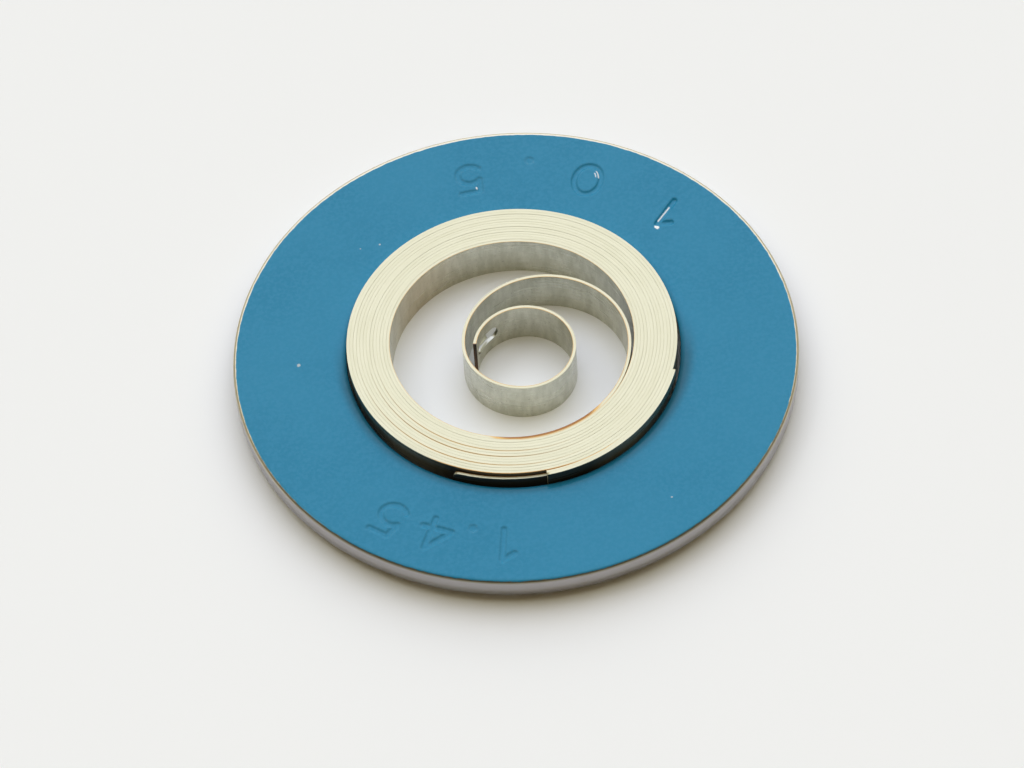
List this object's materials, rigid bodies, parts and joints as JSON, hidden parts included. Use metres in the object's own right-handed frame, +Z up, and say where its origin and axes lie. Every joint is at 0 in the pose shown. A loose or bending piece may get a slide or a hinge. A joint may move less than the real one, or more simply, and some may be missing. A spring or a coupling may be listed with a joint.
{
  "type": "watch mainspring",
  "caption": "Flat steel strip wound into a tight coil with a slotted inner eye and a braced outer end, held wound in the hole of a flat lacquered washer.",
  "frame": {"origin": "on the washer's axis, in the plane of the strip's lower edges on which the part lies", "axes": "+Z up along the washer's axis, towards the lacquered face; -Y towards the outer end of the strip; +X to the right seen from the front"},
  "size_m": [0.0174, 0.0174, 0.0014],
  "materials": {
    "washer": "satin blue lacquer over steel",
    "strip": "bright rolled steel",
    "brace": "bright rolled steel"
  },
  "bodies": {
    "root": {"retaining_washer": "washer", "mainspring_strip": "strip", "end_brace": "brace"}
  },
  "joints": []
}
